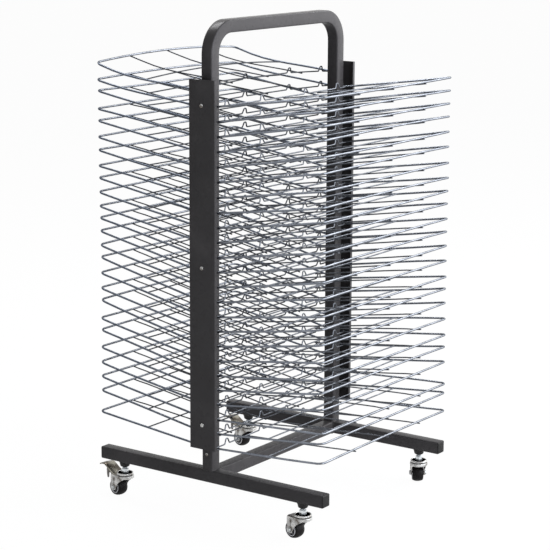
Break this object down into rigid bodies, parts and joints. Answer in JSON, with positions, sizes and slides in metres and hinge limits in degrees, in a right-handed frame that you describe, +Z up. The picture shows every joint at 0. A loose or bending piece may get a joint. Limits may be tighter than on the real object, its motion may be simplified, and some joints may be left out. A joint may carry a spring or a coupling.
{
  "type": "art drying rack",
  "caption": "Castored art drying rack: a square-tube hoop on an H-shaped base holds stacks of hinged wire shelves on both sides, with folded covers over the hinges.",
  "frame": {"origin": "on the floor under the middle of the whole rack's outer box, castors parked as drawn", "axes": "+Z up, +Y from the front post to the rear post, +X towards the right-hand shelves"},
  "size_m": [0.6151, 0.5393, 1.072],
  "materials": {
    "black_paint": "satin charcoal powder coat",
    "bright_wire": "bright plated wire",
    "zinc_plate": "zinc-plated pressed steel",
    "rubber": "matt black tyre"
  },
  "bodies": {
    "base": {"frame": "black_paint", "front_cover": "black_paint", "rear_cover": "black_paint"},
    "fork_front_left": {"castor_fork_front_left": "zinc_plate"},
    "wheel_front_left": {"castor_wheel_front_left": "rubber"},
    "fork_front_right": {"castor_fork_front_right": "zinc_plate"},
    "wheel_front_right": {"castor_wheel_front_right": "rubber"},
    "fork_rear_left": {"castor_fork_rear_left": "zinc_plate"},
    "wheel_rear_left": {"castor_wheel_rear_left": "rubber"},
    "fork_rear_right": {"castor_fork_rear_right": "zinc_plate"},
    "wheel_rear_right": {"castor_wheel_rear_right": "rubber"},
    "left_shelf_01": {"left_shelf_01": "bright_wire"},
    "left_shelf_02": {"left_shelf_02": "bright_wire"},
    "left_shelf_03": {"left_shelf_03": "bright_wire"},
    "left_shelf_04": {"left_shelf_04": "bright_wire"},
    "left_shelf_05": {"left_shelf_05": "bright_wire"},
    "left_shelf_06": {"left_shelf_06": "bright_wire"},
    "left_shelf_07": {"left_shelf_07": "bright_wire"},
    "left_shelf_08": {"left_shelf_08": "bright_wire"},
    "left_shelf_09": {"left_shelf_09": "bright_wire"},
    "left_shelf_10": {"left_shelf_10": "bright_wire"},
    "left_shelf_11": {"left_shelf_11": "bright_wire"},
    "left_shelf_12": {"left_shelf_12": "bright_wire"},
    "left_shelf_13": {"left_shelf_13": "bright_wire"},
    "left_shelf_14": {"left_shelf_14": "bright_wire"},
    "left_shelf_15": {"left_shelf_15": "bright_wire"},
    "left_shelf_16": {"left_shelf_16": "bright_wire"},
    "left_shelf_17": {"left_shelf_17": "bright_wire"},
    "left_shelf_18": {"left_shelf_18": "bright_wire"},
    "left_shelf_19": {"left_shelf_19": "bright_wire"},
    "left_shelf_20": {"left_shelf_20": "bright_wire"},
    "left_shelf_21": {"left_shelf_21": "bright_wire"},
    "left_shelf_22": {"left_shelf_22": "bright_wire"},
    "left_shelf_23": {"left_shelf_23": "bright_wire"},
    "left_shelf_24": {"left_shelf_24": "bright_wire"},
    "left_shelf_25": {"left_shelf_25": "bright_wire"},
    "right_shelf_01": {"right_shelf_01": "bright_wire"},
    "right_shelf_02": {"right_shelf_02": "bright_wire"},
    "right_shelf_03": {"right_shelf_03": "bright_wire"},
    "right_shelf_04": {"right_shelf_04": "bright_wire"},
    "right_shelf_05": {"right_shelf_05": "bright_wire"},
    "right_shelf_06": {"right_shelf_06": "bright_wire"},
    "right_shelf_07": {"right_shelf_07": "bright_wire"},
    "right_shelf_08": {"right_shelf_08": "bright_wire"},
    "right_shelf_09": {"right_shelf_09": "bright_wire"},
    "right_shelf_10": {"right_shelf_10": "bright_wire"},
    "right_shelf_11": {"right_shelf_11": "bright_wire"},
    "right_shelf_12": {"right_shelf_12": "bright_wire"},
    "right_shelf_13": {"right_shelf_13": "bright_wire"},
    "right_shelf_14": {"right_shelf_14": "bright_wire"},
    "right_shelf_15": {"right_shelf_15": "bright_wire"},
    "right_shelf_16": {"right_shelf_16": "bright_wire"},
    "right_shelf_17": {"right_shelf_17": "bright_wire"},
    "right_shelf_18": {"right_shelf_18": "bright_wire"},
    "right_shelf_19": {"right_shelf_19": "bright_wire"},
    "right_shelf_20": {"right_shelf_20": "bright_wire"},
    "right_shelf_21": {"right_shelf_21": "bright_wire"},
    "right_shelf_22": {"right_shelf_22": "bright_wire"},
    "right_shelf_23": {"right_shelf_23": "bright_wire"},
    "right_shelf_24": {"right_shelf_24": "bright_wire"}
  },
  "joints": [
    {"name": "swivel_front_left", "type": "hinge", "parent": "base", "child": "fork_front_left", "pos_m": [-0.232, -0.23825, 0.08], "axis": [0, 0, 1], "continuous": true},
    {"name": "spin_front_left", "type": "hinge", "parent": "fork_front_left", "child": "wheel_front_left", "pos_m": [-0.25538, -0.23285, 0.02], "axis": [0.225, 0.9744, 0], "continuous": true},
    {"name": "swivel_front_right", "type": "hinge", "parent": "base", "child": "fork_front_right", "pos_m": [0.25, -0.23825, 0.08], "axis": [0, 0, 1], "continuous": true},
    {"name": "spin_front_right", "type": "hinge", "parent": "fork_front_right", "child": "wheel_front_right", "pos_m": [0.22662, -0.23285, 0.02], "axis": [0.225, 0.9744, 0], "continuous": true},
    {"name": "swivel_rear_left", "type": "hinge", "parent": "base", "child": "fork_rear_left", "pos_m": [-0.232, 0.23025, 0.08], "axis": [0, 0, 1], "continuous": true},
    {"name": "spin_rear_left", "type": "hinge", "parent": "fork_rear_left", "child": "wheel_rear_left", "pos_m": [-0.25538, 0.23565, 0.02], "axis": [0.225, 0.9744, 0], "continuous": true},
    {"name": "swivel_rear_right", "type": "hinge", "parent": "base", "child": "fork_rear_right", "pos_m": [0.25, 0.23025, 0.08], "axis": [0, 0, 1], "continuous": true},
    {"name": "spin_rear_right", "type": "hinge", "parent": "fork_rear_right", "child": "wheel_rear_right", "pos_m": [0.23589, 0.24967, 0.02], "axis": [0.809, 0.5878, 0], "continuous": true},
    {"name": "left_lift_01", "type": "hinge", "parent": "base", "child": "left_shelf_01", "pos_m": [0.0021, -0.004, 0.1645], "axis": [0, 1, 0], "range_deg": [0, 42]},
    {"name": "left_lift_02", "type": "hinge", "parent": "base", "child": "left_shelf_02", "pos_m": [0.0021, -0.004, 0.19625], "axis": [0, 1, 0], "range_deg": [0, 42]},
    {"name": "left_lift_03", "type": "hinge", "parent": "base", "child": "left_shelf_03", "pos_m": [0.0021, -0.004, 0.228], "axis": [0, 1, 0], "range_deg": [0, 42]},
    {"name": "left_lift_04", "type": "hinge", "parent": "base", "child": "left_shelf_04", "pos_m": [0.0021, -0.004, 0.25975], "axis": [0, 1, 0], "range_deg": [0, 42]},
    {"name": "left_lift_05", "type": "hinge", "parent": "base", "child": "left_shelf_05", "pos_m": [0.0021, -0.004, 0.2915], "axis": [0, 1, 0], "range_deg": [0, 42]},
    {"name": "left_lift_06", "type": "hinge", "parent": "base", "child": "left_shelf_06", "pos_m": [0.0021, -0.004, 0.32325], "axis": [0, 1, 0], "range_deg": [0, 42]},
    {"name": "left_lift_07", "type": "hinge", "parent": "base", "child": "left_shelf_07", "pos_m": [0.0021, -0.004, 0.355], "axis": [0, 1, 0], "range_deg": [0, 42]},
    {"name": "left_lift_08", "type": "hinge", "parent": "base", "child": "left_shelf_08", "pos_m": [0.0021, -0.004, 0.38675], "axis": [0, 1, 0], "range_deg": [0, 42]},
    {"name": "left_lift_09", "type": "hinge", "parent": "base", "child": "left_shelf_09", "pos_m": [0.0021, -0.004, 0.4185], "axis": [0, 1, 0], "range_deg": [0, 42]},
    {"name": "left_lift_10", "type": "hinge", "parent": "base", "child": "left_shelf_10", "pos_m": [0.0021, -0.004, 0.45025], "axis": [0, 1, 0], "range_deg": [0, 42]},
    {"name": "left_lift_11", "type": "hinge", "parent": "base", "child": "left_shelf_11", "pos_m": [0.0021, -0.004, 0.482], "axis": [0, 1, 0], "range_deg": [0, 42]},
    {"name": "left_lift_12", "type": "hinge", "parent": "base", "child": "left_shelf_12", "pos_m": [0.0021, -0.004, 0.51375], "axis": [0, 1, 0], "range_deg": [0, 42]},
    {"name": "left_lift_13", "type": "hinge", "parent": "base", "child": "left_shelf_13", "pos_m": [0.0021, -0.004, 0.5455], "axis": [0, 1, 0], "range_deg": [0, 42]},
    {"name": "left_lift_14", "type": "hinge", "parent": "base", "child": "left_shelf_14", "pos_m": [0.0021, -0.004, 0.57725], "axis": [0, 1, 0], "range_deg": [0, 42]},
    {"name": "left_lift_15", "type": "hinge", "parent": "base", "child": "left_shelf_15", "pos_m": [0.0021, -0.004, 0.609], "axis": [0, 1, 0], "range_deg": [0, 42]},
    {"name": "left_lift_16", "type": "hinge", "parent": "base", "child": "left_shelf_16", "pos_m": [0.0021, -0.004, 0.64075], "axis": [0, 1, 0], "range_deg": [0, 42]},
    {"name": "left_lift_17", "type": "hinge", "parent": "base", "child": "left_shelf_17", "pos_m": [0.0021, -0.004, 0.6725], "axis": [0, 1, 0], "range_deg": [0, 42]},
    {"name": "left_lift_18", "type": "hinge", "parent": "base", "child": "left_shelf_18", "pos_m": [0.0021, -0.004, 0.70425], "axis": [0, 1, 0], "range_deg": [0, 42]},
    {"name": "left_lift_19", "type": "hinge", "parent": "base", "child": "left_shelf_19", "pos_m": [0.0021, -0.004, 0.736], "axis": [0, 1, 0], "range_deg": [0, 42]},
    {"name": "left_lift_20", "type": "hinge", "parent": "base", "child": "left_shelf_20", "pos_m": [0.0021, -0.004, 0.76775], "axis": [0, 1, 0], "range_deg": [0, 42]},
    {"name": "left_lift_21", "type": "hinge", "parent": "base", "child": "left_shelf_21", "pos_m": [0.0021, -0.004, 0.7995], "axis": [0, 1, 0], "range_deg": [0, 42]},
    {"name": "left_lift_22", "type": "hinge", "parent": "base", "child": "left_shelf_22", "pos_m": [0.0021, -0.004, 0.83125], "axis": [0, 1, 0], "range_deg": [0, 42]},
    {"name": "left_lift_23", "type": "hinge", "parent": "base", "child": "left_shelf_23", "pos_m": [0.0021, -0.004, 0.863], "axis": [0, 1, 0], "range_deg": [0, 42]},
    {"name": "left_lift_24", "type": "hinge", "parent": "base", "child": "left_shelf_24", "pos_m": [0.0021, -0.004, 0.89475], "axis": [0, 1, 0], "range_deg": [0, 42]},
    {"name": "left_lift_25", "type": "hinge", "parent": "base", "child": "left_shelf_25", "pos_m": [0.0021, -0.004, 0.9265], "axis": [0, 1, 0], "range_deg": [0, 42]},
    {"name": "right_lift_01", "type": "hinge", "parent": "base", "child": "right_shelf_01", "pos_m": [0.0159, -0.004, 0.1645], "axis": [0, -1, 0], "range_deg": [0, 42]},
    {"name": "right_lift_02", "type": "hinge", "parent": "base", "child": "right_shelf_02", "pos_m": [0.0159, -0.004, 0.19625], "axis": [0, -1, 0], "range_deg": [0, 42]},
    {"name": "right_lift_03", "type": "hinge", "parent": "base", "child": "right_shelf_03", "pos_m": [0.0159, -0.004, 0.228], "axis": [0, -1, 0], "range_deg": [0, 42]},
    {"name": "right_lift_04", "type": "hinge", "parent": "base", "child": "right_shelf_04", "pos_m": [0.0159, -0.004, 0.25975], "axis": [0, -1, 0], "range_deg": [0, 42]},
    {"name": "right_lift_05", "type": "hinge", "parent": "base", "child": "right_shelf_05", "pos_m": [0.0159, -0.004, 0.2915], "axis": [0, -1, 0], "range_deg": [0, 42]},
    {"name": "right_lift_06", "type": "hinge", "parent": "base", "child": "right_shelf_06", "pos_m": [0.0159, -0.004, 0.32325], "axis": [0, -1, 0], "range_deg": [0, 42]},
    {"name": "right_lift_07", "type": "hinge", "parent": "base", "child": "right_shelf_07", "pos_m": [0.0159, -0.004, 0.355], "axis": [0, -1, 0], "range_deg": [0, 42]},
    {"name": "right_lift_08", "type": "hinge", "parent": "base", "child": "right_shelf_08", "pos_m": [0.0159, -0.004, 0.38675], "axis": [0, -1, 0], "range_deg": [0, 42]},
    {"name": "right_lift_09", "type": "hinge", "parent": "base", "child": "right_shelf_09", "pos_m": [0.0159, -0.004, 0.4185], "axis": [0, -1, 0], "range_deg": [0, 42]},
    {"name": "right_lift_10", "type": "hinge", "parent": "base", "child": "right_shelf_10", "pos_m": [0.0159, -0.004, 0.45025], "axis": [0, -1, 0], "range_deg": [0, 42]},
    {"name": "right_lift_11", "type": "hinge", "parent": "base", "child": "right_shelf_11", "pos_m": [0.0159, -0.004, 0.482], "axis": [0, -1, 0], "range_deg": [0, 42]},
    {"name": "right_lift_12", "type": "hinge", "parent": "base", "child": "right_shelf_12", "pos_m": [0.0159, -0.004, 0.51375], "axis": [0, -1, 0], "range_deg": [0, 42]},
    {"name": "right_lift_13", "type": "hinge", "parent": "base", "child": "right_shelf_13", "pos_m": [0.0159, -0.004, 0.5455], "axis": [0, -1, 0], "range_deg": [0, 42]},
    {"name": "right_lift_14", "type": "hinge", "parent": "base", "child": "right_shelf_14", "pos_m": [0.0159, -0.004, 0.57725], "axis": [0, -1, 0], "range_deg": [0, 42]},
    {"name": "right_lift_15", "type": "hinge", "parent": "base", "child": "right_shelf_15", "pos_m": [0.0159, -0.004, 0.609], "axis": [0, -1, 0], "range_deg": [0, 42]},
    {"name": "right_lift_16", "type": "hinge", "parent": "base", "child": "right_shelf_16", "pos_m": [0.0159, -0.004, 0.64075], "axis": [0, -1, 0], "range_deg": [0, 42]},
    {"name": "right_lift_17", "type": "hinge", "parent": "base", "child": "right_shelf_17", "pos_m": [0.0159, -0.004, 0.6725], "axis": [0, -1, 0], "range_deg": [0, 42]},
    {"name": "right_lift_18", "type": "hinge", "parent": "base", "child": "right_shelf_18", "pos_m": [0.0159, -0.004, 0.70425], "axis": [0, -1, 0], "range_deg": [0, 42]},
    {"name": "right_lift_19", "type": "hinge", "parent": "base", "child": "right_shelf_19", "pos_m": [0.0159, -0.004, 0.736], "axis": [0, -1, 0], "range_deg": [0, 42]},
    {"name": "right_lift_20", "type": "hinge", "parent": "base", "child": "right_shelf_20", "pos_m": [0.0159, -0.004, 0.76775], "axis": [0, -1, 0], "range_deg": [0, 42]},
    {"name": "right_lift_21", "type": "hinge", "parent": "base", "child": "right_shelf_21", "pos_m": [0.0159, -0.004, 0.7995], "axis": [0, -1, 0], "range_deg": [0, 42]},
    {"name": "right_lift_22", "type": "hinge", "parent": "base", "child": "right_shelf_22", "pos_m": [0.0159, -0.004, 0.83125], "axis": [0, -1, 0], "range_deg": [0, 42]},
    {"name": "right_lift_23", "type": "hinge", "parent": "base", "child": "right_shelf_23", "pos_m": [0.0159, -0.004, 0.863], "axis": [0, -1, 0], "range_deg": [0, 42]},
    {"name": "right_lift_24", "type": "hinge", "parent": "base", "child": "right_shelf_24", "pos_m": [0.0159, -0.004, 0.89475], "axis": [0, -1, 0], "range_deg": [0, 42]}
  ],
  "couplings": [
    {"joint": "left_lift_02", "follows": "left_lift_01", "ratio": 1},
    {"joint": "left_lift_03", "follows": "left_lift_01", "ratio": 1},
    {"joint": "left_lift_04", "follows": "left_lift_01", "ratio": 1},
    {"joint": "left_lift_05", "follows": "left_lift_01", "ratio": 1},
    {"joint": "left_lift_06", "follows": "left_lift_01", "ratio": 1},
    {"joint": "left_lift_07", "follows": "left_lift_01", "ratio": 1},
    {"joint": "left_lift_08", "follows": "left_lift_01", "ratio": 1},
    {"joint": "left_lift_09", "follows": "left_lift_01", "ratio": 1},
    {"joint": "left_lift_10", "follows": "left_lift_01", "ratio": 1},
    {"joint": "left_lift_11", "follows": "left_lift_01", "ratio": 1},
    {"joint": "left_lift_12", "follows": "left_lift_01", "ratio": 1},
    {"joint": "left_lift_13", "follows": "left_lift_01", "ratio": 1},
    {"joint": "left_lift_14", "follows": "left_lift_01", "ratio": 1},
    {"joint": "left_lift_15", "follows": "left_lift_01", "ratio": 1},
    {"joint": "left_lift_16", "follows": "left_lift_01", "ratio": 1},
    {"joint": "left_lift_17", "follows": "left_lift_01", "ratio": 1},
    {"joint": "left_lift_18", "follows": "left_lift_01", "ratio": 1},
    {"joint": "left_lift_19", "follows": "left_lift_01", "ratio": 1},
    {"joint": "left_lift_20", "follows": "left_lift_01", "ratio": 1},
    {"joint": "left_lift_21", "follows": "left_lift_01", "ratio": 1},
    {"joint": "left_lift_22", "follows": "left_lift_01", "ratio": 1},
    {"joint": "left_lift_23", "follows": "left_lift_01", "ratio": 1},
    {"joint": "left_lift_24", "follows": "left_lift_01", "ratio": 1},
    {"joint": "left_lift_25", "follows": "left_lift_01", "ratio": 1},
    {"joint": "right_lift_02", "follows": "right_lift_01", "ratio": 1},
    {"joint": "right_lift_03", "follows": "right_lift_01", "ratio": 1},
    {"joint": "right_lift_04", "follows": "right_lift_01", "ratio": 1},
    {"joint": "right_lift_05", "follows": "right_lift_01", "ratio": 1},
    {"joint": "right_lift_06", "follows": "right_lift_01", "ratio": 1},
    {"joint": "right_lift_07", "follows": "right_lift_01", "ratio": 1},
    {"joint": "right_lift_08", "follows": "right_lift_01", "ratio": 1},
    {"joint": "right_lift_09", "follows": "right_lift_01", "ratio": 1},
    {"joint": "right_lift_10", "follows": "right_lift_01", "ratio": 1},
    {"joint": "right_lift_11", "follows": "right_lift_01", "ratio": 1},
    {"joint": "right_lift_12", "follows": "right_lift_01", "ratio": 1},
    {"joint": "right_lift_13", "follows": "right_lift_01", "ratio": 1},
    {"joint": "right_lift_14", "follows": "right_lift_01", "ratio": 1},
    {"joint": "right_lift_15", "follows": "right_lift_01", "ratio": 1},
    {"joint": "right_lift_16", "follows": "right_lift_01", "ratio": 1},
    {"joint": "right_lift_17", "follows": "right_lift_01", "ratio": 1},
    {"joint": "right_lift_18", "follows": "right_lift_01", "ratio": 1},
    {"joint": "right_lift_19", "follows": "right_lift_01", "ratio": 1},
    {"joint": "right_lift_20", "follows": "right_lift_01", "ratio": 1},
    {"joint": "right_lift_21", "follows": "right_lift_01", "ratio": 1},
    {"joint": "right_lift_22", "follows": "right_lift_01", "ratio": 1},
    {"joint": "right_lift_23", "follows": "right_lift_01", "ratio": 1},
    {"joint": "right_lift_24", "follows": "right_lift_01", "ratio": 1}
  ]
}
